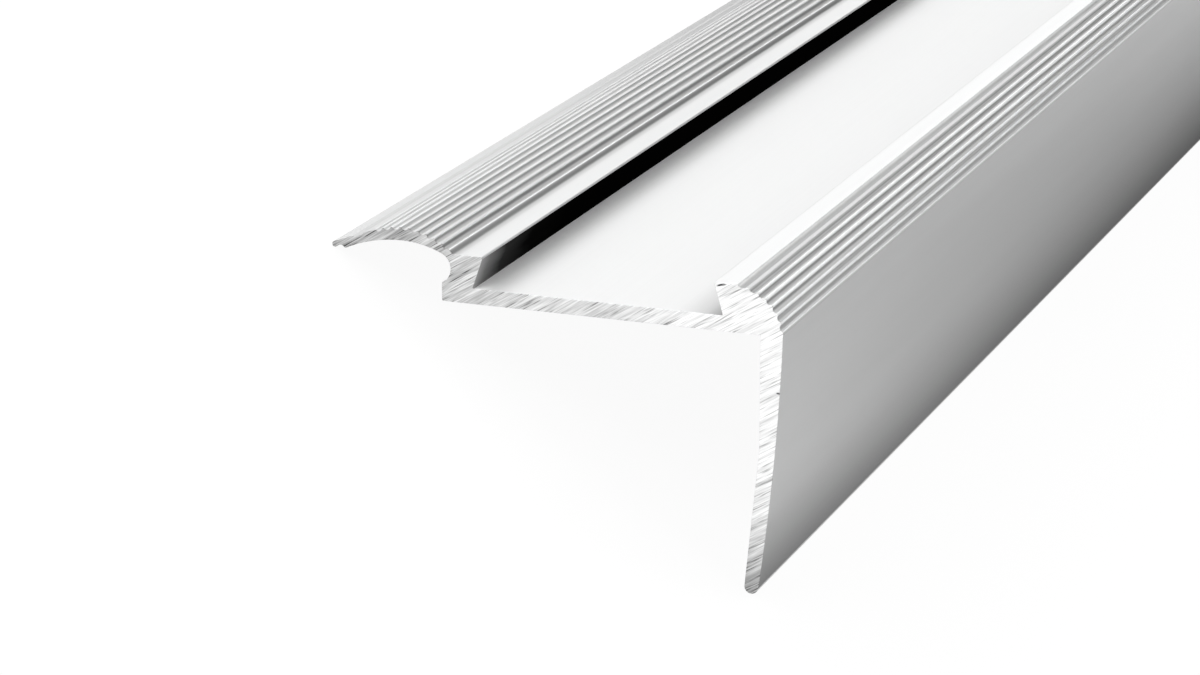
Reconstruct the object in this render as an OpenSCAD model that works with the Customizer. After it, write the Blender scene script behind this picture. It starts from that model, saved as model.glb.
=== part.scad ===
// Extruded aluminium stair nosing profile, drawn as one section and pushed to its length.
// The section has a fluted wing that laps over the floor covering behind, a base with an
// undercut channel for a slip-resistant insert, a fluted nose and a riser leg that leans in.
// The section is drawn as it is fitted: x runs towards the stair's edge and y points up, with
// the origin at the lower corner of the rear foot. The finished length then lies as it would on
// a floor, tilted back until the wing's tip and the riser's end both touch it.

/* [Stock] */
// Length of the profile
length = 900; // [300:10:2700]

/* [Base] */
// Thickness of the base plate under the channel
base_t = 2; // [1.5:0.1:3]
// Rounding of the outer corners
edge_r = 0.2; // [0.1:0.05:0.3]
// Fillet in the corners of the channel and under the nose
root_r = 0.15; // [0.1:0.05:0.4]

/* [Insert channel] */
// Height of the lips beside the channel, above the underside
lip_h = 6.16; // [5.2:0.02:8]
// Distance from the rear foot to the rear lip's edge
rear_lip_w = 5.55; // [5:0.05:8]
// Width of the channel between its lips
mouth_w = 30.4; // [22:0.2:46]
// Angle by which the rear wall leans over the channel
rear_lean = 19; // [5:1:25]
// Angle by which the front wall leans over the channel
front_lean = 16; // [5:1:25]
// Distance from the front lip's edge to the face of the riser
front_lip_w = 8.95; // [7.5:0.05:11]

/* [Wing] */
// How far the wing reaches behind the rear foot
wing_reach = 14.93; // [12.5:0.01:19]
// Distance from the rear foot to the crown of the arch
crown_back = 5.4; // [4.5:0.1:6.5]
// Height of the arch's crown, on its underside
arch_h = 7.28; // [6.8:0.01:9]
// Thickness of the wing at the crown
wing_t = 1.72; // [1.5:0.02:2.2]
// Radius of the wing's top
wing_r = 10.3; // [9.5:0.1:13]
// Slope of the flat part between the crown and the tip
tip_slope = 20; // [16:1:22]
// Radius of the arch's underside in front of the crown
arch_front_r = 13.2; // [11:0.1:16]
// Radius of the hollow above the rear foot
hollow_r = 2.08; // [1.6:0.02:2.4]
// How far that hollow runs in past the rear foot
hollow_in = 1.19; // [0.8:0.01:1.5]
// Rounding of the tip
tip_r = 0.375; // [0.3:0.005:0.45]
// Rounding of the heel bead beside the tip, where the arch ends
heel_r = 0.3; // [0.25:0.01:0.35]
// How far that bead's centre lies in front of the tip's
heel_ahead = 1.45; // [1.2:0.05:1.6]
// Radius of the small notch between the tip and the heel bead
notch_r = 0.6; // [0.5:0.05:0.9]
// How much higher the heel bead ends than the tip
heel_lift = 0.02; // [0:0.01:0.1]

/* [Nose] */
// Radius of the fluted nose over its crests
nose_r = 5.6; // [5:0.1:6]
// How far the nose lies below the front lip
nose_step = 0.31; // [0.1:0.01:0.4]
// Direction of the lowest crest, above level
nose_start = 4.1; // [3:0.1:6]
// Radius of the cove between the front lip and the nose
cove_r = 0.8; // [0.6:0.05:1]
// How much deeper that cove reaches than the nose's top
cove_depth = 0.14; // [0.05:0.01:0.3]
// How far that cove lies in front of the nose's centre
cove_ahead = 0.45; // [0.3:0.05:0.55]

/* [Flutes] */
// Distance between crests
flute_pitch = 1.2; // [1:0.05:1.5]
// Depth of the flutes
flute_depth = 0.33; // [0.2:0.01:0.4]
// Rounding of the crests
crest_r = 0.15; // [0.1:0.01:0.2]
// Least width of the smooth land between the wing's flutes and its tip
tip_land = 5.5; // [4.8:0.1:7]
// Distance from the tip to the shallow groove in that land
groove_in = 3.6; // [3.2:0.1:3.8]
// Radius of that groove
groove_r = 1.6; // [1.2:0.1:2]
// Depth of that groove
groove_depth = 0.2; // [0.1:0.02:0.24]
// Least width of the land between the nose's flutes and the cove
nose_land = 0.3; // [0.2:0.05:1.2]
// Height of the wing's first crest above the rear lip
first_crest_h = 0.55; // [0.4:0.05:0.9]
// Slope of that crest's flank, which runs down to the rear lip
flank_slope = 52; // [45:1:60]
// Fillet between that flank and the lip
flank_fillet_r = 0.4; // [0.2:0.05:0.6]

/* [Riser] */
// How far the riser hangs below the underside
riser_drop = 33.55; // [24:0.05:45]
// Thickness of the riser at its top
riser_t = 2.9; // [2.5:0.05:3.5]
// Depth of the straight part of its inner face
riser_straight = 15; // [8:0.5:20]
// Lean of the inner face below that
riser_lean = 5.6; // [3:0.1:8]
// Radius of the outer face
riser_r = 310; // [260:5:500]
// Rounding of the lower end
riser_end_r = 0.9; // [0.6:0.05:1.1]

/* [Hidden] */
fine = 96;
large = 256;
// Two rounds that run into one another lap by this much, so that they cross
lap = 0.005;
// Reach of a cutting shape past what it cuts
past = 60;
deg = 180 / PI;

function polar(c, r, a) = c + r * [cos(a), sin(a)];
function unit(v) = v / norm(v);
// The point at distance ra from a and rb from b, on the left when looking from a to b
function meet(a, ra, b, rb) =
    let (d = norm(b - a), e = (b - a) / d, x = (ra * ra - rb * rb + d * d) / (2 * d),
         y = sqrt(ra * ra - x * x))
    a + x * e + y * [-e[1], e[0]];
// Radius of the flutes that run into crests of radius crest_r, where near and deep are the
// distances of the crests' centres and of the flutes' bottoms from the centre of the row's round
function flute_radius(near, deep, pitch_angle) =
    let (c = cos(pitch_angle / 2), r = crest_r - lap)
    (near * near + deep * deep - 2 * near * deep * c - r * r) / (2 * (r + near * c - deep));

// Faces and lips
front_lip_u = rear_lip_w + mouth_w;
face_u = front_lip_u + front_lip_w;
seat_w = face_u - riser_t;
channel_h = lip_h - base_t;
rear_corner_u = rear_lip_w - channel_h * tan(rear_lean);
front_corner_u = front_lip_u + channel_h * tan(front_lean);

// Arch: centres of the rounds on its underside and of the wing's top
arch_front_c = [-crown_back, arch_h - arch_front_r];
wing_c = [-crown_back, arch_h + wing_t - wing_r];
hollow_u = hollow_in - hollow_r;
hollow_c = [hollow_u, arch_front_c[1]
    + sqrt(pow(arch_front_r - hollow_r + lap, 2) - pow(hollow_u - arch_front_c[0], 2))];
hollow_dir = unit(hollow_c - arch_front_c);

// Wing tip: the top ends on the tip's round, and the arch runs back from its crown to the heel
// bead on the one round that touches both
slope_dir = [cos(tip_slope), sin(tip_slope)];
slope_up = [-sin(tip_slope), cos(tip_slope)];
bend = wing_c + wing_r * slope_up;
tip_u = tip_r - wing_reach;
tip_c = [tip_u, bend[1] + (tip_u - bend[0]) * tan(tip_slope) - tip_r / cos(tip_slope)];
heel_c = [tip_u + heel_ahead, tip_c[1] - tip_r + heel_lift + heel_r];
heel_run = [heel_c[0] + crown_back, heel_c[1] - arch_h];
arch_rear_r = (heel_run * heel_run - pow(heel_r - lap, 2)) / (2 * (heel_r - lap - heel_run[1]));
arch_rear_c = [-crown_back, arch_h - arch_rear_r];
notch_c = meet(heel_c, notch_r + heel_r - lap, tip_c, notch_r + tip_r - lap);

// Wing's flutes: a point of their row lies s along the top from the crown, towards the rear
// lip, and h above the crests
function wing_row(s, h) =
    let (s_bend = -wing_r * tip_slope / deg)
    s > s_bend ? polar(wing_c, wing_r + h, 90 - s / wing_r * deg)
               : wing_c + (wing_r + h) * slope_up + (s - s_bend) * slope_dir;
wing_pitch = flute_pitch / wing_r * deg;
wing_flute_r = flute_radius(wing_r - crest_r, wing_r - flute_depth, wing_pitch);
first_crest = wing_r * acos((lip_h + first_crest_h - wing_c[1]) / wing_r) / deg;
tip_row = (tip_c - bend) * slope_dir - wing_r * tip_slope / deg;
wing_flutes = floor((first_crest - tip_row - tip_land) / flute_pitch);
last_crest = first_crest - wing_flutes * flute_pitch;
function wing_crest(i) = wing_row(first_crest - i * flute_pitch, -crest_r);
function wing_flute(i) = wing_row(first_crest - (i - 0.5) * flute_pitch, wing_flute_r - flute_depth);

// Flank of the wing's first crest, and the fillet between it and the rear lip
flank_out = [sin(flank_slope), cos(flank_slope)];
flank_top = wing_crest(0) + (crest_r - lap) * flank_out;
fillet_v = lip_h + flank_fillet_r;
fillet_c = [flank_top[0]
    + (flank_fillet_r - lap - (fillet_v - flank_top[1]) * flank_out[1]) / flank_out[0], fillet_v];
flank_foot = fillet_c - (flank_fillet_r - lap) * flank_out;

// Shallow groove in the land beside the wing's tip
groove_c = wing_row(tip_row + groove_in, groove_r - groove_depth);

// Nose: its crests are counted up from the riser's face to the cove
nose_c = [face_u - nose_r, lip_h - nose_step - nose_r];
cove_c = [nose_c[0] + cove_ahead, nose_c[1] + nose_r - cove_depth + cove_r];
cove_end = meet(cove_c, cove_r, nose_c, nose_r) - nose_c;
nose_pitch = flute_pitch / nose_r * deg;
nose_flutes = floor((atan2(cove_end[1], cove_end[0]) - nose_start - nose_land / nose_r * deg)
    / nose_pitch);
nose_end = nose_start + nose_flutes * nose_pitch;
nose_flute_r = flute_radius(nose_r - crest_r + lap, nose_r - flute_depth, nose_pitch);
function nose_crest(i) = polar(nose_c, nose_r - crest_r + lap, nose_start + i * nose_pitch);
function nose_flute(i) =
    polar(nose_c, nose_r - flute_depth + nose_flute_r, nose_start + (i - 0.5) * nose_pitch);

// Riser: the end's round meets the leaning inner face and the long round of the outer face
riser_knee = [seat_w, -riser_straight];
riser_end_v = riser_end_r - riser_drop;
riser_end_c = [seat_w + (riser_end_v + riser_straight) * tan(riser_lean)
    + riser_end_r / cos(riser_lean), riser_end_v];
riser_c = meet(riser_end_c, riser_r - riser_end_r + lap, [face_u, nose_c[1]], riser_r);
riser_in = [-cos(riser_lean), sin(riser_lean)];
riser_down = [-sin(riser_lean), -cos(riser_lean)];
riser_out = unit(riser_end_c - riser_c);

// Rest: both ends of the section touch the floor along one line below them
rest_run = riser_end_c - tip_c;
rest_tilt = atan2(-rest_run[1], rest_run[0]) + asin((riser_end_r - tip_r) / norm(rest_run));
function tilted(p) = [p[0] * cos(rest_tilt) - p[1] * sin(rest_tilt),
                      p[0] * sin(rest_tilt) + p[1] * cos(rest_tilt)];
rest_left = tilted(tip_c)[0] - tip_r;
rest_right = tilted(riser_end_c)[0] + riser_end_r;
rest_floor = tilted(tip_c)[1] - tip_r;

// Bounds of the stock that the section is cut from
stock_left = -wing_reach - 1;
stock_right = face_u + 1;
stock_top = wing_c[1] + wing_r + 1;
stock_wing = tip_c[1] - 2;

module disc(c, r, n = fine) translate(c) circle(r = r, $fn = n);

// The part of a disc between two directions
module sector(c, r, a0, a1, n = fine)
    intersection() {
        disc(c, r, n);
        polygon([c, polar(c, past, a0), polar(c, past, a1)]);
    }

// What lies between two directions and outside a round
module outside(c, r, a0, a1, n = fine)
    difference() {
        polygon([c, polar(c, past, a0), polar(c, past, a1)]);
        disc(c, r, n);
    }

// What a round of radius r leaves in the corner p between the directions a and b. The round
// crosses the corner's two lines by the lap instead of only touching them
module corner(p, a, b, r) {
    half = acos(unit(a) * unit(b)) / 2;
    middle = unit(unit(a) + unit(b));
    c = p + middle * r / sin(half);
    difference() {
        polygon([p - middle * r, p + unit(a) * r / tan(half), c, p + unit(b) * r / tan(half)]);
        disc(c, r + lap);
    }
}

// Stock, with the flat underside, the riser's inner face and the lips' top
module stock() {
    riser_foot = riser_end_c + riser_end_r * (riser_in + 2 * riser_down);
    polygon([
        [0, 0], [seat_w - root_r, 0], [seat_w, -root_r], riser_knee, riser_foot,
        [stock_right, riser_foot[1]], [stock_right, lip_h], [fillet_c[0], lip_h],
        [fillet_c[0], stock_top], [stock_left, stock_top], [stock_left, stock_wing],
        [0, stock_wing]
    ]);
}

// Undercut channel that holds the insert
module channel() {
    floor_rear = [rear_corner_u, base_t];
    floor_front = [front_corner_u, base_t];
    lip_rear = [rear_lip_w, lip_h];
    lip_front = [front_lip_u, lip_h];
    up = [0, 1];
    difference() {
        polygon([floor_rear, floor_front, lip_front, lip_front + up, lip_rear + up, lip_rear]);
        corner(floor_rear, [1, 0], lip_rear - floor_rear, root_r);
        corner(floor_front, [-1, 0], lip_front - floor_front, root_r);
    }
    corner(lip_rear, [-1, 0], floor_rear - lip_rear, edge_r);
    corner(lip_front, [1, 0], floor_front - lip_front, edge_r);
}

// All that lies around the wing: above its crests, beyond its tip and under its arch
module wing_cut() {
    difference() {
        polygon(concat(
            [[fillet_c[0], past], fillet_c, flank_foot, flank_top, wing_crest(0)],
            [for (i = [1:wing_flutes]) each [wing_flute(i), wing_crest(i)]],
            [wing_row(last_crest, -lap), tip_c + (tip_r - lap) * slope_up, tip_c, notch_c,
             heel_c, arch_rear_c, arch_front_c, hollow_c, [hollow_c[0], -past],
             [-past, -past], [-past, past]]));
        for (i = [0:wing_flutes]) disc(wing_crest(i), crest_r);
        disc(tip_c, tip_r);
        disc(heel_c, heel_r);
    }
    for (i = [1:wing_flutes]) disc(wing_flute(i), wing_flute_r);
    disc(fillet_c, flank_fillet_r);
    disc(groove_c, groove_r);
    disc(notch_c, notch_r);
    sector(arch_rear_c, arch_rear_r, 90, 150, large);
    sector(arch_front_c, arch_front_r, atan2(hollow_dir[1], hollow_dir[0]), 90, large);
    disc(hollow_c, hollow_r);
}

// All that lies outside the fluted nose
module nose_cut() {
    difference() {
        polygon(concat(
            [polar(nose_c, past, nose_start), polar(nose_c, nose_r, nose_start), nose_crest(0)],
            [for (i = [1:nose_flutes]) each [nose_flute(i), nose_crest(i)]],
            [polar(nose_c, nose_r, nose_end), polar(nose_c, past, nose_end)]));
        for (i = [0:nose_flutes]) disc(nose_crest(i), crest_r);
    }
    for (i = [1:nose_flutes]) disc(nose_flute(i), nose_flute_r);
    outside(nose_c, nose_r, -1, nose_start + 1);
    intersection() {
        outside(nose_c, nose_r, nose_end - 1, 135);
        translate([cove_c[0], 0]) square(past);
    }
    disc(cove_c, cove_r);
}

// All that lies outside the riser's outer face and its lower end
module riser_cut() {
    below = riser_end_c + 10 * (riser_out + 0.3 * riser_down);
    nose_top = nose_c[1] + 0.2;
    difference() {
        polygon([riser_end_c, below, [past * 2, below[1]], [past * 2, nose_top], [0, nose_top]]);
        disc(riser_c, riser_r, large);
    }
    difference() {
        polygon([riser_end_c, riser_end_c + 10 * riser_in, riser_end_c + 20 * riser_down,
                 riser_end_c + 10 * riser_out]);
        disc(riser_end_c, riser_end_r);
    }
}

module section()
    difference() {
        stock();
        channel();
        wing_cut();
        nose_cut();
        riser_cut();
        disc([seat_w - root_r, -root_r], root_r + lap);
        corner([0, 0], [0, 1], [1, 0], edge_r);
    }

module nosing_profile()
    color("silver")
        translate([-(rest_left + rest_right) / 2, 0, -rest_floor])
            rotate([0, -rest_tilt, 0])
                rotate([90, 0, 0])
                    linear_extrude(length, center = true)
                        section();

nosing_profile();
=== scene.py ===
import math
from collections import namedtuple

import bpy
import numpy as np
from mathutils import Matrix, Vector


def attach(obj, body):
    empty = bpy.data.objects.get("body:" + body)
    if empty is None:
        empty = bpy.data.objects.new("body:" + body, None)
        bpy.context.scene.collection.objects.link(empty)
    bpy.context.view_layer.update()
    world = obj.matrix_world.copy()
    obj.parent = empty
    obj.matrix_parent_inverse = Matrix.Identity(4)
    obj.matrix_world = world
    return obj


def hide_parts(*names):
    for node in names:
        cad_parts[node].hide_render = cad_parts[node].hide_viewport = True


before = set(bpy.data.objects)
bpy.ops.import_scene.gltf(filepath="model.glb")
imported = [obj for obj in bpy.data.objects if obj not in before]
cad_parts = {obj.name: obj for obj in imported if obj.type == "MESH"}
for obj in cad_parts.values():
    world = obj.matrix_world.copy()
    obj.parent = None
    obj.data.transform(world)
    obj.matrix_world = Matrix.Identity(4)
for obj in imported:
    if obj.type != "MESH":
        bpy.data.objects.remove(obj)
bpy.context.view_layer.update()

MM = 0.001

# Sizes of the section in millimetres and degrees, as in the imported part's source. The source works
# out the rear arch's radius, which is rounded here, and the numbers of flutes.
LENGTH = 900.0
BASE_T, EDGE_R, ROOT_R = 2.0, 0.2, 0.15
LIP_H, REAR_LIP_W, MOUTH_W, FRONT_LIP_W = 6.16, 5.55, 30.4, 8.95
REAR_LEAN, FRONT_LEAN = 19.0, 16.0
WING_REACH, CROWN_BACK, ARCH_H, WING_T, WING_R = 14.93, 5.4, 7.28, 1.72, 10.3
TIP_SLOPE, ARCH_FRONT_R, ARCH_REAR_R = 20.0, 13.2, 18.0
HOLLOW_R, HOLLOW_IN, TIP_R, HEEL_R, NOTCH_R, HEEL_LIFT = 2.08, 1.19, 0.375, 0.3, 0.6, 0.02
NOSE_R, NOSE_STEP, NOSE_START = 5.6, 0.31, 4.1
COVE_R, COVE_DEPTH, COVE_AHEAD = 0.8, 0.14, 0.45
PITCH, FLUTE_DEPTH, CREST_R = 1.2, 0.33, 0.15
WING_FLUTES, NOSE_FLUTES, FIRST_CREST_H = 9, 6, 0.55
FLANK_SLOPE, FLANK_FILLET_R = 52.0, 0.4
GROOVE_IN, GROOVE_R, GROOVE_DEPTH = 3.6, 1.6, 0.2
RISER_DROP, RISER_T, RISER_STRAIGHT, RISER_LEAN = 33.55, 2.9, 15.0, 5.6
RISER_R, RISER_END_R = 310.0, 0.9

# Degrees between the outline's points, from the widest rounds to the smallest
RISER_TURN, ARCH_TURN, GROOVE_TURN, FLUTE_TURN, END_TURN = 0.3, 2, 4, 6, 8
EDGE_TURN, ROOT_TURN, CREST_TURN, HIDDEN_TURN = 10, 12, 14, 15

# The channel's floor has painted shade beside its front wall and painted light beside its rear wall,
# over these widths
FRONT_SHADE, REAR_SHADE = 6.0, 5.0
# So many of the wing's flutes, from the rear lip on, have the tones of its steeper part
STEEP_FLUTES = 6

# Width of the ends' broken edge, and how far its normals lean out along the length
EDGE_BREAK, BREAK_SLOPE = 0.05, 2.2
# The broken edge is drawn in at most 1 / LEAST_SPREAD times its width where the outline is sharp
LEAST_SPREAD = 0.5
# Rings of points between the ends, and the distance of the first from the near end
RINGS, FIRST_RING = 24, 20.0

# Dark marks on the near end: place in the section, length, width, angle and depth
MARKS = [((36.95, 5.87), 1.5, 0.34, 14, 0.75), ((44.35, -7.15), 0.6, 0.26, -10, 0.6),
         ((40.9, 3.38), 4.4, 0.16, 30, 0.3), ((43.0, -5.6), 3.0, 0.16, 30, 0.3)]
# How fast such a mark fades in from its rim
MARK_EDGE = 2.5
# The saw's streaks on the ends, in degrees above X
SAW_ANGLE = 67.0

# How bright the finish is along a piece of the outline, in equal steps. These tones were set by
# comparing the render's brightness with the photo's, so they hold a part of the photo's shading:
# besides the finish's colour they are painted shade in the flutes, the cove and the groove, on the
# flank, the fillet, the rear lip beside the fillet, the riser's lower end and the channel's floor
# beside its front wall. They are painted light on the channel's floor beside its rear wall, and
# painted highlights on the nose's crests, the first crest and the front lip's edge.
# A piece that isn't listed has the plain tone.
PLAIN_TONE = 0.53
TONES_WITH_PAINTED_SHADE = {
    "nose_crest": [1.0],
    "low_flute": [0.70, 0.66, 0.64, 0.52, 0.37, 0.26, 0.33, 0.48, 0.74, 1.0, 1.0],
    "middle_flute": [0.86, 0.69, 0.57, 0.64, 0.65, 0.59, 0.28, 0.18, 0.22, 0.73, 1.0],
    "high_flute": [0.87, 0.68, 0.53, 0.37, 0.31, 0.31, 0.47, 0.51, 0.32, 0.46, 0.61],
    "cove": [0.58, 0.42, 0.28, 0.28, 0.31, 0.41, 0.49, 0.60, 0.83, 1.0, 1.0],
    "first_crest": [0.88],
    "first_flute": [0.82, 0.60, 0.45, 0.41, 0.46, 0.31, 0.25, 0.30, 0.44],
    "wing_crest": [0.61],
    "wing_flute": [0.63, 0.65, 0.67, 0.62, 0.51, 0.48, 0.43, 0.39, 0.40],
    "tip_crest": [0.70],
    "tip_flute": [0.74, 0.76, 0.71, 0.62, 0.49, 0.46, 0.66],
    "flank": [0.21, 0.24, 0.31, 0.53],
    "fillet": [0.31, 0.26, 0.22, 0.21],
    "rear_lip": [0.61, 0.61, 0.61, 0.61, 0.61, 0.61, 0.59, 0.46, 0.35],
    "front_lip": [0.66],
    "lip_edge": [0.66, 0.95],
    "riser": [0.12, 0.21, 0.31, 0.39, 0.47, 0.52, 0.57, 0.60, 0.62, 0.63, 0.645, 0.65, 0.66, 0.66],
    "land": [0.46],
    "groove": [0.44, 0.39, 0.44],
    "floor": [0.60],
    "floor_front": [0.22, 0.33, 0.45, 0.50, 0.53, 0.57, 0.60],
    "floor_rear": [0.60, 0.60, 0.64, 0.74, 0.88, 0.99, 0.99],
}
# Where the nose's flutes have the middle tones, from 0 at the riser to 1 at the cove
MIDDLE_PLACE = 0.4

# Material slots of the body, and the pieces of the outline that don't have the finish's
FINISH_SLOT, UNDERCUT_SLOT, SAWN_SLOT, CHANNEL_SLOT = 0, 1, 2, 3
SLOTS = {"undercut": UNDERCUT_SLOT, "floor": CHANNEL_SLOT, "floor_front": CHANNEL_SLOT,
         "floor_rear": CHANNEL_SLOT}

# The darkest tone's colour, and the brightest tone's on the finish and on the sawn ends
BLACK, SILVER, BARE_METAL = (0.0, 0.0, 0.0), (0.995, 1.0, 1.0), (0.998, 1.0, 1.0)
# Height of all bumps, in metres
BUMP_HEIGHT = 0.00001
# The walls under the lips have painted shade, which gets darker inwards over this length from each end
UNDERCUT_SHADE_LENGTH = 30.0
# Stretch of the section along which the sawn ends' painted shade is set: its start and its width
STRETCH_START, STRETCH_WIDTH = -15.0, 60.0
# Dark lines among the saw's streaks: how sharp they are, how rare, and how deep
LINE_SHARPNESS, LINE_RARITY, LINE_DEPTH = 7, 4.1, 0.42

# Floor: half its width, and the length over which its painted light fades and it gets darker, in
# metres
FLOOR_HALF, FADE_LENGTH = 6.0, 0.3
# Its glow as metal sees it, and its glow and its share of what falls on it as the camera does.
# The two together are white to the camera, and the share keeps the shadow.
METAL_GLOW, CAMERA_GLOW, CAMERA_SHARE = 0.2, 0.945, 0.06
# Strength of the world's plain light
WORLD_LIGHT = 0.25

# Soft boxes far away: degrees from +Y towards +X, degrees up, and brightness. The second's and the
# fourth's brightness was given, and the others' was fitted to the photo and rounded.
SOFT_BOXES = [(-75, 25, 5.0), (-130, 30, 4.7), (0, 50, 2.8), (90, 50, 1.5), (-60, 5, 1.95),
              (-30, 5, 1.5), (30, 5, 1.0), (60, 5, 0.7), (-90, 50, 0.65), (-45, 50, 0.5)]
BOX_WIDTH = math.radians(36)

# Camera: its place in metres, its lens and sensor in millimetres, the directions to its right and
# back, and the range that it sees, in metres
CAMERA_AT, LENS, SENSOR_WIDTH = (0.055653, -0.899092, 0.23195), 122.1, 36.0
CAMERA_RIGHT, CAMERA_BACK = (0.7642, 0.3559, 0.5379), (0.1110, -0.8941, 0.4339)
CLIP_NEAR, CLIP_FAR = 0.01, 50


# Geometry in the section's plane
def tan(angle):
    return math.tan(math.radians(angle))


def direction(angle):
    return np.array([math.cos(math.radians(angle)), math.sin(math.radians(angle))])


def polar(centre, radius, angle):
    return np.asarray(centre, float) + radius * direction(angle)


def unit(vector):
    vector = np.asarray(vector, float)
    return vector / np.linalg.norm(vector)


def towards(centre, radius, target):
    """The point of a round that lies towards the target."""
    return centre + radius * unit(target - centre)


def meet(a, radius_a, b, radius_b):
    """The point at distance radius_a from a and radius_b from b, on the left from a to b."""
    a, b = np.asarray(a, float), np.asarray(b, float)
    apart = np.linalg.norm(b - a)
    ahead = (b - a) / apart
    x = (radius_a * radius_a - radius_b * radius_b + apart * apart) / (2 * apart)
    y = math.sqrt(max(radius_a * radius_a - x * x, 0.0))
    return a + x * ahead + y * np.array([-ahead[1], ahead[0]])


def rounded(corner, a, b, radius):
    """Where a round meets the two lines that leave the corner along a and b, and its centre."""
    a, b = unit(a), unit(b)
    half = math.acos(float(a @ b)) / 2
    start = corner + a * radius / math.tan(half)
    end = corner + b * radius / math.tan(half)
    return start, end, corner + unit(a + b) * radius / math.sin(half)


def flute_radius(near, deep, pitch_angle):
    """Radius of the flutes that run into the crests. Near and deep are the distances of the
    crests' centres and of the flutes' bottoms from the centre of the row's round."""
    c = math.cos(math.radians(pitch_angle) / 2)
    gap = near ** 2 + deep ** 2 - 2 * near * deep * c - CREST_R ** 2
    return gap / (2 * (CREST_R + near * c - deep))


# Faces, lips and the channel's corners. The section is drawn as it is fitted, with its origin at
# the lower corner of the rear foot, x towards the stair's edge and y up.
front_lip = np.array([REAR_LIP_W + MOUTH_W, LIP_H])
rear_lip = np.array([REAR_LIP_W, LIP_H])
face_u = front_lip[0] + FRONT_LIP_W
seat_u = face_u - RISER_T
rear_corner = np.array([rear_lip[0] - (LIP_H - BASE_T) * tan(REAR_LEAN), BASE_T])
front_corner = np.array([front_lip[0] + (LIP_H - BASE_T) * tan(FRONT_LEAN), BASE_T])

# Wing: centres of the rounds of its underside, its top and its tip
arch_front_c = np.array([-CROWN_BACK, ARCH_H - ARCH_FRONT_R])
arch_rear_c = np.array([-CROWN_BACK, ARCH_H - ARCH_REAR_R])
wing_c = np.array([-CROWN_BACK, ARCH_H + WING_T - WING_R])
hollow_u = HOLLOW_IN - HOLLOW_R
hollow_rise = math.sqrt((ARCH_FRONT_R - HOLLOW_R) ** 2 - (hollow_u - arch_front_c[0]) ** 2)
hollow_c = np.array([hollow_u, arch_front_c[1] + hollow_rise])
slope, slope_up = direction(TIP_SLOPE), direction(TIP_SLOPE + 90)
bend = wing_c + WING_R * slope_up
tip_u = TIP_R - WING_REACH
tip_c = np.array([tip_u, bend[1] + (tip_u - bend[0]) * tan(TIP_SLOPE) - TIP_R / slope[0]])
heel_v = tip_c[1] - TIP_R + HEEL_LIFT + HEEL_R
heel_back = math.sqrt((ARCH_REAR_R + HEEL_R) ** 2 - (heel_v - arch_rear_c[1]) ** 2)
heel_c = np.array([arch_rear_c[0] - heel_back, heel_v])
notch_c = meet(heel_c, NOTCH_R + HEEL_R, tip_c, NOTCH_R + TIP_R)


def wing_row(distance, height):
    """The point so far along the wing's top from its crown, towards the rear lip, and so high
    above the crests."""
    to_bend = -math.radians(WING_R * TIP_SLOPE)
    if distance > to_bend:
        return polar(wing_c, WING_R + height, 90 - math.degrees(distance / WING_R))
    return wing_c + (WING_R + height) * slope_up + (distance - to_bend) * slope


# Wing's flutes, the flank and fillet in front of them, and the groove behind them
wing_flute_r = flute_radius(WING_R - CREST_R, WING_R - FLUTE_DEPTH, math.degrees(PITCH / WING_R))
first_crest = WING_R * math.acos((LIP_H + FIRST_CREST_H - wing_c[1]) / WING_R)
wing_crests = [wing_row(first_crest - i * PITCH, -CREST_R) for i in range(WING_FLUTES + 1)]
wing_flutes = [wing_row(first_crest - (i + 0.5) * PITCH, wing_flute_r - FLUTE_DEPTH)
               for i in range(WING_FLUTES)]
flank_out = direction(90 - FLANK_SLOPE)
flank_top = wing_crests[0] + CREST_R * flank_out
fillet_v = LIP_H + FLANK_FILLET_R
fillet_u = flank_top[0] + (FLANK_FILLET_R - (fillet_v - flank_top[1]) * flank_out[1]) / flank_out[0]
fillet_c = np.array([fillet_u, fillet_v])
tip_row = (tip_c - bend) @ slope - math.radians(WING_R * TIP_SLOPE)
groove_c = wing_row(tip_row + GROOVE_IN, GROOVE_R - GROOVE_DEPTH)
groove_half = math.sqrt(GROOVE_R ** 2 - (GROOVE_R - GROOVE_DEPTH) ** 2)

# Nose: its crests are counted up from the riser's face to the cove
nose_c = np.array([face_u - NOSE_R, LIP_H - NOSE_STEP - NOSE_R])
nose_pitch = math.degrees(PITCH / NOSE_R)
nose_flute_r = flute_radius(NOSE_R - CREST_R, NOSE_R - FLUTE_DEPTH, nose_pitch)
nose_crests = [polar(nose_c, NOSE_R - CREST_R, NOSE_START + i * nose_pitch)
               for i in range(NOSE_FLUTES + 1)]
nose_flutes = [polar(nose_c, NOSE_R - FLUTE_DEPTH + nose_flute_r, NOSE_START + (i + 0.5) * nose_pitch)
               for i in range(NOSE_FLUTES)]
cove_c = nose_c + np.array([COVE_AHEAD, NOSE_R - COVE_DEPTH + COVE_R])

# Riser: the end's round meets the leaning inner face and the long round of the outer face
riser_in = direction(180 - RISER_LEAN)
end_v = RISER_END_R - RISER_DROP
end_u = seat_u + (end_v + RISER_STRAIGHT) * tan(RISER_LEAN) - RISER_END_R / riser_in[0]
end_c = np.array([end_u, end_v])
riser_c = meet(end_c, RISER_R - RISER_END_R, [face_u, nose_c[1]], RISER_R)

# Rest: the section leans back until both of its ends touch the floor
run = end_c - tip_c
TILT = math.degrees(math.atan2(-run[1], run[0])
                    + math.asin((RISER_END_R - TIP_R) / np.linalg.norm(run)))
cos_tilt, sin_tilt = direction(TILT)
tilting = np.array([[cos_tilt, -sin_tilt], [sin_tilt, cos_tilt]])
lowest = (tilting @ tip_c) - TIP_R
rightmost = (tilting @ end_c)[0] + RISER_END_R
SHIFT = np.array([-(lowest[0] + rightmost) / 2, -lowest[1]])


def to_floor(points):
    """Points of the section, in millimetres, to X and Z of the profile on its floor, in metres."""
    return (np.asarray(points, float) @ tilting.T + SHIFT) * MM


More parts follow.
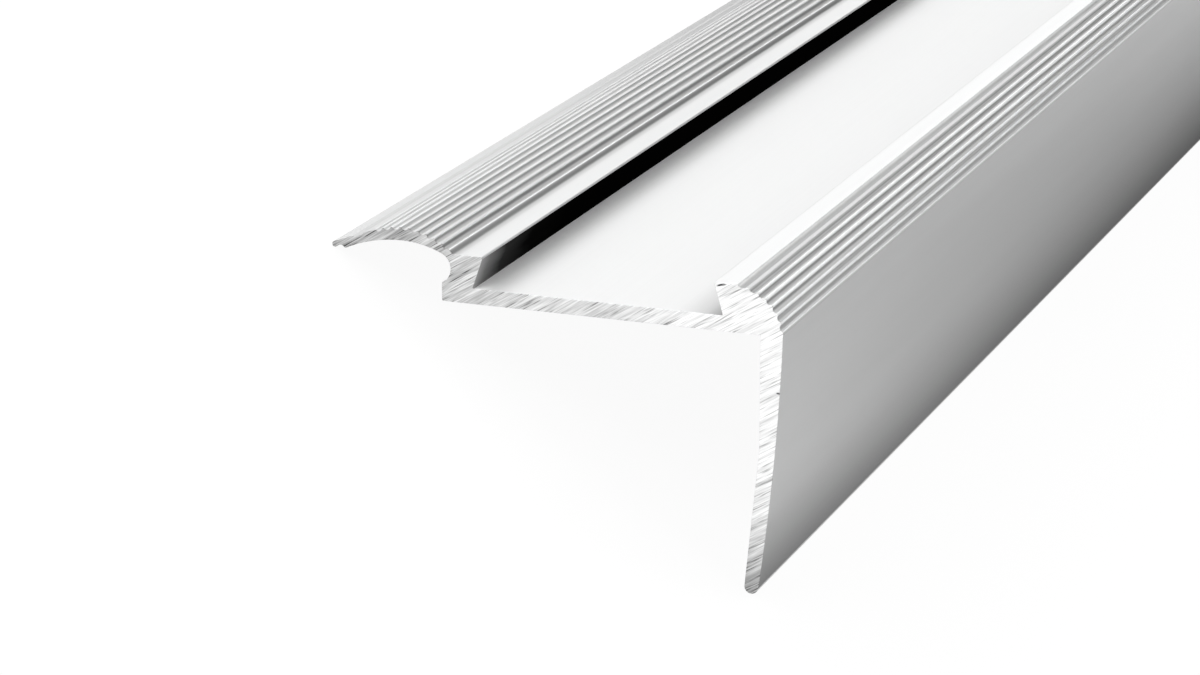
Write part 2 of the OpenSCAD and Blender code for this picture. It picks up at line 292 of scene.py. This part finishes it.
class Outline:
    """The section's outline, counterclockwise, in pieces: points, normals at them, and a name."""

    def __init__(self, start):
        self.at = np.asarray(start, float)
        self.pieces = []

    def line(self, point, parts, name="plain"):
        """Straight from here to the point, in equal parts."""
        point = np.asarray(point, float)
        ahead = unit(point - self.at)
        points = [self.at + (point - self.at) * k / parts for k in range(parts + 1)]
        normals = np.tile([ahead[1], -ahead[0]], (parts + 1, 1))
        self.pieces.append((np.array(points), normals, name))
        self.at = point

    def arc(self, centre, point, counterclockwise, turn, name):
        """Round the centre from here to the point, in steps of about so many degrees."""
        centre, point = np.asarray(centre, float), np.asarray(point, float)
        start = math.atan2(*(self.at - centre)[::-1])
        stop = math.atan2(*(point - centre)[::-1])
        sweep = (stop - start) % (2 * math.pi)
        if not counterclockwise:
            sweep = -((start - stop) % (2 * math.pi))
        count = max(2, math.ceil(abs(math.degrees(sweep)) / turn))
        shares = np.linspace(0, 1, count + 1)
        rays = np.array([[math.cos(start + k * sweep), math.sin(start + k * sweep)] for k in shares])
        near, far = np.linalg.norm(self.at - centre), np.linalg.norm(point - centre)
        points = centre + rays * (near + (far - near) * shares)[:, None]
        self.pieces.append((points, rays if counterclockwise else -rays, name))
        self.at = point

    def bulge(self, centre, point, turn, name="plain"):
        """An arc with the material on its centre's side."""
        self.arc(centre, point, True, turn, name)

    def hollow(self, centre, point, turn, name="plain"):
        """An arc with the material on its outer side."""
        self.arc(centre, point, False, turn, name)

    def flutes(self, crests, flutes, names):
        """Crests and the flutes between them, with a name for each pair."""
        for crest, after, flute, name in zip(crests, crests[1:], flutes, names):
            self.bulge(crest, towards(crest, CREST_R, flute), CREST_TURN, name + "_crest")
            self.hollow(flute, towards(after, CREST_R, flute), FLUTE_TURN, name + "_flute")


def draw_riser(outline):
    """The base's underside, both faces of the leg, and the nose's plain start."""
    outline.line([seat_u - ROOT_R, 0], parts=6)
    outline.hollow([seat_u - ROOT_R, -ROOT_R], [seat_u, -ROOT_R], HIDDEN_TURN)
    outline.line([seat_u, -RISER_STRAIGHT], parts=2)
    outline.line(end_c + RISER_END_R * riser_in, parts=2)
    outline.bulge(end_c, end_c + RISER_END_R * unit(end_c - riser_c), END_TURN)
    outline.bulge(riser_c, [face_u, nose_c[1]], RISER_TURN, "riser")
    outline.bulge(nose_c, polar(nose_c, NOSE_R, NOSE_START), ARCH_TURN)


def draw_nose(outline):
    outline.flutes(nose_crests, nose_flutes, ["nose"] * NOSE_FLUTES)
    last_crest = polar(nose_c, NOSE_R, NOSE_START + NOSE_FLUTES * nose_pitch)
    outline.bulge(nose_crests[-1], last_crest, CREST_TURN)
    outline.bulge(nose_c, meet(cove_c, COVE_R, nose_c, NOSE_R), ARCH_TURN)
    cove_half = math.sqrt(COVE_R ** 2 - (LIP_H - cove_c[1]) ** 2)
    outline.hollow(cove_c, [cove_c[0] - cove_half, LIP_H], FLUTE_TURN, "cove")


def draw_channel(outline):
    """The front lip, the channel under it, and the rear lip's edge."""
    start, end, centre = rounded(front_lip, [1, 0], front_corner - front_lip, EDGE_R)
    outline.line(start, parts=12, name="front_lip")
    outline.bulge(centre, end, EDGE_TURN, "lip_edge")
    start, end, centre = rounded(front_corner, front_lip - front_corner, [-1, 0], ROOT_R)
    outline.line(start, parts=3, name="undercut")
    outline.hollow(centre, end, ROOT_TURN, "undercut")
    start, end, centre = rounded(rear_corner, [1, 0], rear_lip - rear_corner, ROOT_R)
    outline.line([front_corner[0] - FRONT_SHADE, BASE_T], parts=12, name="floor_front")
    outline.line([rear_corner[0] + REAR_SHADE, BASE_T], parts=20, name="floor")
    outline.line(start, parts=12, name="floor_rear")
    outline.hollow(centre, end, ROOT_TURN, "undercut")
    start, end, centre = rounded(rear_lip, rear_corner - rear_lip, [-1, 0], EDGE_R)
    outline.line(start, parts=3, name="undercut")
    outline.bulge(centre, end, EDGE_TURN)


def draw_wing(outline):
    """The rear lip, the wing's top with its flutes and groove, and its tip with notch and heel."""
    outline.line([fillet_c[0], LIP_H], parts=16, name="rear_lip")
    outline.hollow(fillet_c, fillet_c - FLANK_FILLET_R * flank_out, FLUTE_TURN, "fillet")
    outline.line(flank_top, parts=6, name="flank")
    names = ["first"] + ["wing"] * (STEEP_FLUTES - 1) + ["tip"] * (WING_FLUTES - STEEP_FLUTES)
    outline.flutes(wing_crests, wing_flutes, names)
    last_crest = wing_row(first_crest - WING_FLUTES * PITCH, 0)
    outline.bulge(wing_crests[-1], last_crest, CREST_TURN, "tip_crest")
    outline.line(wing_row(tip_row + GROOVE_IN + groove_half, 0), parts=2, name="land")
    outline.hollow(groove_c, wing_row(tip_row + GROOVE_IN - groove_half, 0), GROOVE_TURN, "groove")
    outline.line(tip_c + TIP_R * slope_up, parts=3, name="land")
    outline.bulge(tip_c, towards(tip_c, TIP_R, notch_c), EDGE_TURN)
    outline.hollow(notch_c, towards(heel_c, HEEL_R, notch_c), EDGE_TURN)
    outline.bulge(heel_c, towards(heel_c, HEEL_R, arch_rear_c), ROOT_TURN)


def draw_arch(outline):
    """The wing's underside, the hollow above the rear foot, and the foot."""
    outline.hollow(arch_rear_c, [-CROWN_BACK, ARCH_H], ARCH_TURN)
    outline.hollow(arch_front_c, towards(arch_front_c, ARCH_FRONT_R, hollow_c), ARCH_TURN)
    foot_top = hollow_c[1] - math.sqrt(HOLLOW_R ** 2 - hollow_u ** 2)
    outline.hollow(hollow_c, [0, foot_top], FLUTE_TURN)
    outline.line([0, EDGE_R], parts=2)
    outline.bulge([EDGE_R, EDGE_R], [EDGE_R, 0], HIDDEN_TURN)


def draw_section():
    outline = Outline([EDGE_R, 0])
    for draw in (draw_riser, draw_nose, draw_channel, draw_wing, draw_arch):
        draw(outline)
    return outline


# Body: the outline pushed to its length, with the finish's tone at each corner of its faces. The tone
# holds painted shade and painted highlights as well as the finish's colour
def tone_along(name, count):
    levels = TONES_WITH_PAINTED_SHADE.get(name, [PLAIN_TONE])
    return np.interp(np.linspace(0, 1, count), np.linspace(0, 1, len(levels)), levels)


def nose_tones(count, place):
    """A nose flute's tones. Place is 0 at the riser and 1 at the cove."""
    low, middle, high = (tone_along(n + "_flute", count) for n in ("low", "middle", "high"))
    if place < MIDDLE_PLACE:
        return low + (middle - low) * place / MIDDLE_PLACE
    return middle + (high - middle) * (place - MIDDLE_PLACE) / (1 - MIDDLE_PLACE)


# One side of the outline: the point where it starts, and its normals and tones at both ends
Side = namedtuple("Side", "point name normals tones")


def sides_of(outline):
    sides = []
    flutes_done = 0
    for points, normals, name in outline.pieces:
        tones = tone_along(name, len(points))
        if name == "nose_flute":
            tones = nose_tones(len(points), flutes_done / (NOSE_FLUTES - 1))
            flutes_done += 1
        for k in range(len(points) - 1):
            sides.append(Side(points[k], name, normals[k:k + 2], tones[k:k + 2]))
    return sides


def rings_of(sides):
    """The places of the rings along the length, each with how far its edge is broken, and the
    points of all rings."""
    half = LENGTH / 2
    places = [(-half, 1.0), (-half + EDGE_BREAK, 0.0)]
    places += [(y, 0.0) for y in np.linspace(-half + FIRST_RING, half - FIRST_RING, RINGS)]
    places += [(half - EDGE_BREAK, 0.0), (half, 1.0)]
    points = np.array([side.point for side in sides])
    # the mean normal at each point, along which the broken edge is drawn in
    means = np.array([unit(side.normals[0] + sides[i - 1].normals[1]) for i, side in enumerate(sides)])
    spreads = [max(LEAST_SPREAD, float(side.normals[0] @ mean)) for side, mean in zip(sides, means)]
    inset = EDGE_BREAK / np.array(spreads)
    corners = []
    for y, broken in places:
        ring = to_floor(points - means * inset[:, None] * broken)
        corners += [(x, y * MM, z) for x, z in ring]
    return places, corners


def build_body():
    sides = sides_of(draw_section())
    places, corners = rings_of(sides)
    count = len(sides)
    faces, slots, normals, tones = [], [], [], []
    for ring in range(len(places) - 1):
        edge = places[ring][1] != places[ring + 1][1]
        lengthwise = 0.0
        if edge:
            lengthwise = -BREAK_SLOPE if ring == 0 else BREAK_SLOPE
        near, far = ring * count, (ring + 1) * count
        for i, side in enumerate(sides):
            j = (i + 1) % count
            faces.append((near + i, far + i, far + j, near + j))
            slots.append(SAWN_SLOT if edge else SLOTS.get(side.name, FINISH_SLOT))
            for x, z in side.normals @ tilting.T:
                normals += [tuple(Vector((x, lengthwise, z)).normalized())] * 2
            tones += [side.tones[0]] * 2 + [side.tones[1]] * 2
    last = (len(places) - 1) * count
    faces.append(tuple(range(count)))
    faces.append(tuple(last + i for i in range(count))[::-1])
    slots += [SAWN_SLOT, SAWN_SLOT]
    normals += [(0.0, -1.0, 0.0)] * count + [(0.0, 1.0, 0.0)] * count
    tones += [PLAIN_TONE] * (2 * count)
    mesh = bpy.data.meshes.new("nosing_body")
    mesh.from_pydata(corners, [], faces)
    mesh.update()
    if mesh.polygons[0].normal.dot(Vector(normals[0])) < 0:
        raise SystemExit("the outline runs the wrong way round")
    mesh.polygons.foreach_set("use_smooth", [True] * len(faces))
    mesh.polygons.foreach_set("material_index", slots)
    mesh.normals_split_custom_set(normals)
    mesh.attributes.new("tone", "FLOAT", "CORNER").data.foreach_set("value", tones)
    return add_object("nosing_body", mesh)


def add_object(name, data):
    made = bpy.data.objects.new(name, data)
    bpy.context.scene.collection.objects.link(made)
    return made


# Nodes that the materials share
def blank_material(name):
    """A material, its node tree, and the output that is all the tree holds."""
    made = bpy.data.materials.new(name)
    made.use_nodes = True
    tree = made.node_tree
    tree.nodes.clear()
    return made, tree, tree.nodes.new("ShaderNodeOutputMaterial")


def principled(name, metallic):
    made, tree, out = blank_material(name)
    shader = tree.nodes.new("ShaderNodeBsdfPrincipled")
    shader.inputs["Metallic"].default_value = metallic
    tree.links.new(shader.outputs[0], out.inputs[0])
    return made, tree, shader


def math_node(tree, operation, a, b=None, c=None, clamp=False):
    node = tree.nodes.new("ShaderNodeMath")
    node.operation = operation
    node.use_clamp = clamp
    for socket, value in zip(node.inputs, (a, b, c)):
        if isinstance(value, (int, float)):
            socket.default_value = value
        elif value is not None:
            tree.links.new(value, socket)
    return node.outputs[0]


def varied(tree, level, factor, amount):
    """The level, varied by a factor from 0 to 1 as far as the amount says."""
    share = math_node(tree, "MULTIPLY_ADD", factor, 2 * amount, 1 - amount)
    return math_node(tree, "MULTIPLY", level, share)


def centred(tree, factor, amount):
    """A factor from 0 to 1, made to lie about 0 and to reach half the amount each way."""
    return math_node(tree, "MULTIPLY_ADD", factor, amount, -amount / 2)


def ramp(tree, factor, stops):
    """Grey levels or colours at places from 0 to 1, and what lies between them."""
    node = tree.nodes.new("ShaderNodeValToRGB")
    elements = node.color_ramp.elements
    while len(elements) < len(stops):
        elements.new(0.5)
    for element, (place, colour) in zip(elements, stops):
        if isinstance(colour, (int, float)):
            colour = (colour, colour, colour)
        element.position = place
        element.color = (*colour, 1)
    tree.links.new(factor, node.inputs[0])
    return node.outputs[0]


def mapped(tree, scale, angle=0, origin=(0, 0, 0)):
    """The object's coordinates from the origin, turned so far about Y, in units of the scale."""
    coordinates = tree.nodes.new("ShaderNodeTexCoord")
    mapping = tree.nodes.new("ShaderNodeMapping")
    mapping.vector_type = "TEXTURE"
    mapping.inputs["Location"].default_value = origin
    mapping.inputs["Rotation"].default_value = (0, -math.radians(angle), 0)
    mapping.inputs["Scale"].default_value = scale
    tree.links.new(coordinates.outputs["Object"], mapping.inputs["Vector"])
    return mapping.outputs[0]


def noise(tree, length, width, detail, roughness, angle=None):
    """Noise with grains of this length and width in millimetres. Without an angle they run along
    Y. With one they run in the XZ plane, so far above X."""
    scale = (width * MM, length * MM, width * MM)
    if angle is not None:
        scale = (length * MM, 1, width * MM)
    node = tree.nodes.new("ShaderNodeTexNoise")
    node.inputs["Scale"].default_value = 1
    node.inputs["Detail"].default_value = detail
    node.inputs["Roughness"].default_value = roughness
    tree.links.new(mapped(tree, scale, angle or 0), node.inputs["Vector"])
    return node.outputs["Fac"]


def along_length(tree):
    """Where a point lies along the profile, in metres from the middle."""
    coordinates = tree.nodes.new("ShaderNodeTexCoord")
    parts = tree.nodes.new("ShaderNodeSeparateXYZ")
    tree.links.new(coordinates.outputs["Object"], parts.inputs[0])
    return parts.outputs[1]


def on_section(tree):
    """How far out and how far up a point lies in the section, in millimetres."""
    parts = tree.nodes.new("ShaderNodeSeparateXYZ")
    origin = (SHIFT[0] * MM, 0, SHIFT[1] * MM)
    tree.links.new(mapped(tree, (MM, MM, MM), TILT, origin), parts.inputs[0])
    return parts.outputs[0], parts.outputs[2]


def bump(tree, height, strength, normal=None):
    node = tree.nodes.new("ShaderNodeBump")
    node.inputs["Strength"].default_value = strength
    node.inputs["Distance"].default_value = BUMP_HEIGHT
    tree.links.new(height, node.inputs["Height"])
    if normal is not None:
        tree.links.new(normal, node.inputs["Normal"])
    return node.outputs[0]


def toned(tree, noises):
    """The finish's colour with its painted shade and highlights: its tone, varied by each noise as far
    as the amount beside it says.
    """
    tone = tree.nodes.new("ShaderNodeAttribute")
    tone.attribute_name = "tone"
    level = tone.outputs["Fac"]
    for factor, amount in noises:
        level = varied(tree, level, factor, amount)
    return ramp(tree, level, [(0.0, BLACK), (1.0, SILVER)])


# Materials of the body
def anodised():
    made, tree, shader = principled("anodised_aluminium", metallic=1.0)
    grain = noise(tree, length=0.09, width=0.09, detail=2, roughness=0.5)
    drawn = noise(tree, length=40, width=0.12, detail=3, roughness=0.6)
    cloud = noise(tree, length=120, width=6, detail=3, roughness=0.5)
    colour = toned(tree, ((cloud, 0.06), (drawn, 0.05), (grain, 0.05)))
    tree.links.new(colour, shader.inputs["Base Color"])
    tree.links.new(ramp(tree, drawn, [(0.2, 0.33), (0.8, 0.38)]), shader.inputs["Roughness"])
    lengthwise = bump(tree, drawn, strength=0.10)
    tree.links.new(bump(tree, grain, strength=0.10, normal=lengthwise), shader.inputs["Normal"])
    return made


def undercut_painted_shade():
    """Painted shade on the walls under the lips: black inside, and grey near the ends, where light
    reaches in.
    """
    made, tree, shader = principled("undercut_painted_shade", metallic=0.0)
    shader.inputs["Specular IOR Level"].default_value = 0.0
    shader.inputs["Roughness"].default_value = 0.6
    inside = math_node(tree, "ABSOLUTE", along_length(tree))
    inside = math_node(tree, "SUBTRACT", LENGTH / 2 * MM, inside)
    cloud = noise(tree, length=9, width=1.5, detail=2, roughness=0.5)
    inside = varied(tree, inside, cloud, amount=0.25)
    inside = math_node(tree, "DIVIDE", inside, UNDERCUT_SHADE_LENGTH * MM, clamp=True)
    # Painted shade: grey at the ends, black from a little way inside
    colour = ramp(tree, inside, [(0.0, 0.40), (0.10, 0.19), (0.28, 0.03), (0.6, 0.003), (1.0, 0.001)])
    tree.links.new(colour, shader.inputs["Base Color"])
    return made


def channel_floor():
    """The channel's floor, which the insert covers: etched, and more matt than the rest. Its tone
    holds painted shade beside the front wall and painted light beside the rear wall.
    """
    made, tree, shader = principled("channel_floor", metallic=0.15)
    drawn = noise(tree, length=60, width=0.25, detail=3, roughness=0.6)
    grain = noise(tree, length=0.12, width=0.12, detail=2, roughness=0.5)
    tree.links.new(toned(tree, ((drawn, 0.04), (grain, 0.03))), shader.inputs["Base Color"])
    tree.links.new(ramp(tree, drawn, [(0.2, 0.47), (0.8, 0.53)]), shader.inputs["Roughness"])
    tree.links.new(bump(tree, grain, strength=0.08), shader.inputs["Normal"])
    return made


def mark(tree, place, length, width, angle):
    """1 on a small mark on the near end, at a point of the section, and 0 away from it."""
    x, z = to_floor(place)
    scale = (length / 2 * MM, 1, width / 2 * MM)
    far = tree.nodes.new("ShaderNodeVectorMath")
    far.operation = "LENGTH"
    tree.links.new(mapped(tree, scale, angle + TILT, (x, -LENGTH / 2 * MM, z)), far.inputs[0])
    return math_node(tree, "MULTIPLY_ADD", far.outputs["Value"], -MARK_EDGE, MARK_EDGE, clamp=True)


def sawn():
    """The sawn ends: slanting streaks, with painted shade that darkens the face on the wing and low on
    the leg.
    """
    made, tree, shader = principled("sawn_end", metallic=1.0)
    shader.inputs["Roughness"].default_value = 0.4
    fine = noise(tree, length=3.5, width=0.13, detail=2, roughness=0.5, angle=SAW_ANGLE)
    broad = noise(tree, length=5, width=0.5, detail=2, roughness=0.5, angle=SAW_ANGLE)
    dark = noise(tree, length=3.5, width=0.17, detail=1, roughness=0.5, angle=SAW_ANGLE)
    streaks = math_node(tree, "ADD", centred(tree, fine, amount=0.8), centred(tree, broad, amount=0.5))
    lines = math_node(tree, "MULTIPLY_ADD", dark, LINE_SHARPNESS, -LINE_RARITY, clamp=True)
    streaks = math_node(tree, "SUBTRACT", streaks, math_node(tree, "MULTIPLY", lines, LINE_DEPTH))
    out, up = on_section(tree)
    # Painted shade across the section: darkest on the wing, brightest towards the nose and the leg
    shade_across = math_node(tree, "MULTIPLY_ADD", out, 1 / STRETCH_WIDTH, -STRETCH_START / STRETCH_WIDTH,
                       clamp=True)
    shade_across = ramp(tree, shade_across, [(0.0, 0.40), (0.075, 0.47), (0.14, 0.43), (0.19, 0.50), (0.30, 0.60),
                                 (0.47, 0.70), (0.60, 0.63), (0.73, 0.77), (0.83, 0.88), (0.90, 0.84),
                                 (1.0, 0.90)])
    # Painted shade low on the leg, near the floor
    shade_down = math_node(tree, "DIVIDE", up, -RISER_DROP, clamp=True)
    shade_down = ramp(tree, shade_down, [(0.5, 1.0), (0.58, 0.93), (0.72, 0.90), (0.80, 0.86), (0.87, 0.67),
                             (0.96, 0.59)])
    level = math_node(tree, "MULTIPLY", shade_across, shade_down)
    level = math_node(tree, "ADD", level, streaks, clamp=True)
    for place, length, width, angle, depth in MARKS:
        darker = math_node(tree, "MULTIPLY", mark(tree, place, length, width, angle), depth)
        level = math_node(tree, "SUBTRACT", level, darker, clamp=True)
    tree.links.new(ramp(tree, level, [(0.0, BLACK), (1.0, BARE_METAL)]), shader.inputs["Base Color"])
    tree.links.new(bump(tree, fine, strength=0.25), shader.inputs["Normal"])
    return made


body = build_body()
for finish in (anodised(), undercut_painted_shade(), sawn(), channel_floor()):
    body.data.materials.append(finish)
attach(body, "root")
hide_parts("nosing_profile")


# Floor, world, soft boxes and camera
def floor_material():
    """White to the camera. To all other rays it has painted light: bright at the near end and darker
    away from it.
    """
    made, tree, out = blank_material("floor")
    add = tree.nodes.new("ShaderNodeAddShader")
    diffuse = tree.nodes.new("ShaderNodeBsdfDiffuse")
    glow = tree.nodes.new("ShaderNodeEmission")
    path = tree.nodes.new("ShaderNodeLightPath")
    camera = path.outputs["Is Camera Ray"]
    # Painted light: a pool of light at the near end, which fades along the length and shows in the
    # metal
    away = math_node(tree, "MULTIPLY_ADD", along_length(tree), 1 / FADE_LENGTH,
                     LENGTH / 2 * MM / FADE_LENGTH, clamp=True)
    tone = ramp(tree, away, [(0.0, 0.92), (0.25, 0.78), (0.5, 0.50), (1.0, 0.15)])
    glossy, transmitted = path.outputs["Is Glossy Ray"], path.outputs["Is Transmission Ray"]
    metal = math_node(tree, "MULTIPLY", math_node(tree, "MAXIMUM", glossy, transmitted), tone)
    metal = math_node(tree, "MULTIPLY", metal, METAL_GLOW)
    white = math_node(tree, "MULTIPLY", camera, CAMERA_GLOW)
    tree.links.new(math_node(tree, "MAXIMUM", metal, white), glow.inputs[1])
    unseen = math_node(tree, "MULTIPLY", tone, math_node(tree, "SUBTRACT", 1, camera))
    tree.links.new(math_node(tree, "MULTIPLY_ADD", camera, CAMERA_SHARE, unseen), diffuse.inputs[0])
    tree.links.new(diffuse.outputs[0], add.inputs[0])
    tree.links.new(glow.outputs[0], add.inputs[1])
    tree.links.new(add.outputs[0], out.inputs[0])
    return made


def build_floor():
    corners = [(x * FLOOR_HALF, y * FLOOR_HALF, 0) for x, y in ((-1, -1), (1, -1), (1, 1), (-1, 1))]
    mesh = bpy.data.meshes.new("floor")
    mesh.from_pydata(corners, [], [(0, 1, 2, 3)])
    mesh.materials.append(floor_material())
    return add_object("floor", mesh)


def light_world():
    """A plain grey light, which the camera sees as white beyond the floor's edge."""
    world = bpy.data.worlds.new("studio")
    bpy.context.scene.world = world
    world.use_nodes = True
    tree = world.node_tree
    tree.nodes.clear()
    out = tree.nodes.new("ShaderNodeOutputWorld")
    background = tree.nodes.new("ShaderNodeBackground")
    path = tree.nodes.new("ShaderNodeLightPath")
    camera = path.outputs["Is Camera Ray"]
    strength = math_node(tree, "MULTIPLY_ADD", camera, 1 - WORLD_LIGHT, WORLD_LIGHT)
    background.inputs[0].default_value = (1, 1, 1, 1)
    tree.links.new(strength, background.inputs[1])
    tree.links.new(background.outputs[0], out.inputs[0])


def add_soft_box(name, azimuth, elevation, brightness):
    data = bpy.data.lights.new(name, "SUN")
    data.angle = BOX_WIDTH
    data.energy = brightness * 2 * math.pi * (1 - math.cos(BOX_WIDTH / 2))
    east, north = direction(90 - azimuth) * math.cos(math.radians(elevation))
    to_box = Vector((east, north, math.sin(math.radians(elevation))))
    box = add_object(name, data)
    box.rotation_mode = "QUATERNION"
    box.rotation_quaternion = (-to_box).to_track_quat("-Z", "Y")


def add_camera():
    data = bpy.data.cameras.new("camera")
    data.sensor_fit = "HORIZONTAL"
    data.sensor_width = SENSOR_WIDTH
    data.lens = LENS
    data.clip_start, data.clip_end = CLIP_NEAR, CLIP_FAR
    back = Vector(CAMERA_BACK).normalized()
    up = back.cross(Vector(CAMERA_RIGHT).normalized()).normalized()
    right = up.cross(back).normalized()
    place = Matrix((right, up, back)).transposed().to_4x4()
    place.translation = Vector(CAMERA_AT)
    camera = add_object("camera", data)
    camera.matrix_world = place
    bpy.context.scene.camera = camera


floor = build_floor()
light_world()
for number, box in enumerate(SOFT_BOXES):
    add_soft_box("soft_box_%d" % number, *box)
add_camera()
bpy.context.scene.view_settings.view_transform = "Standard"
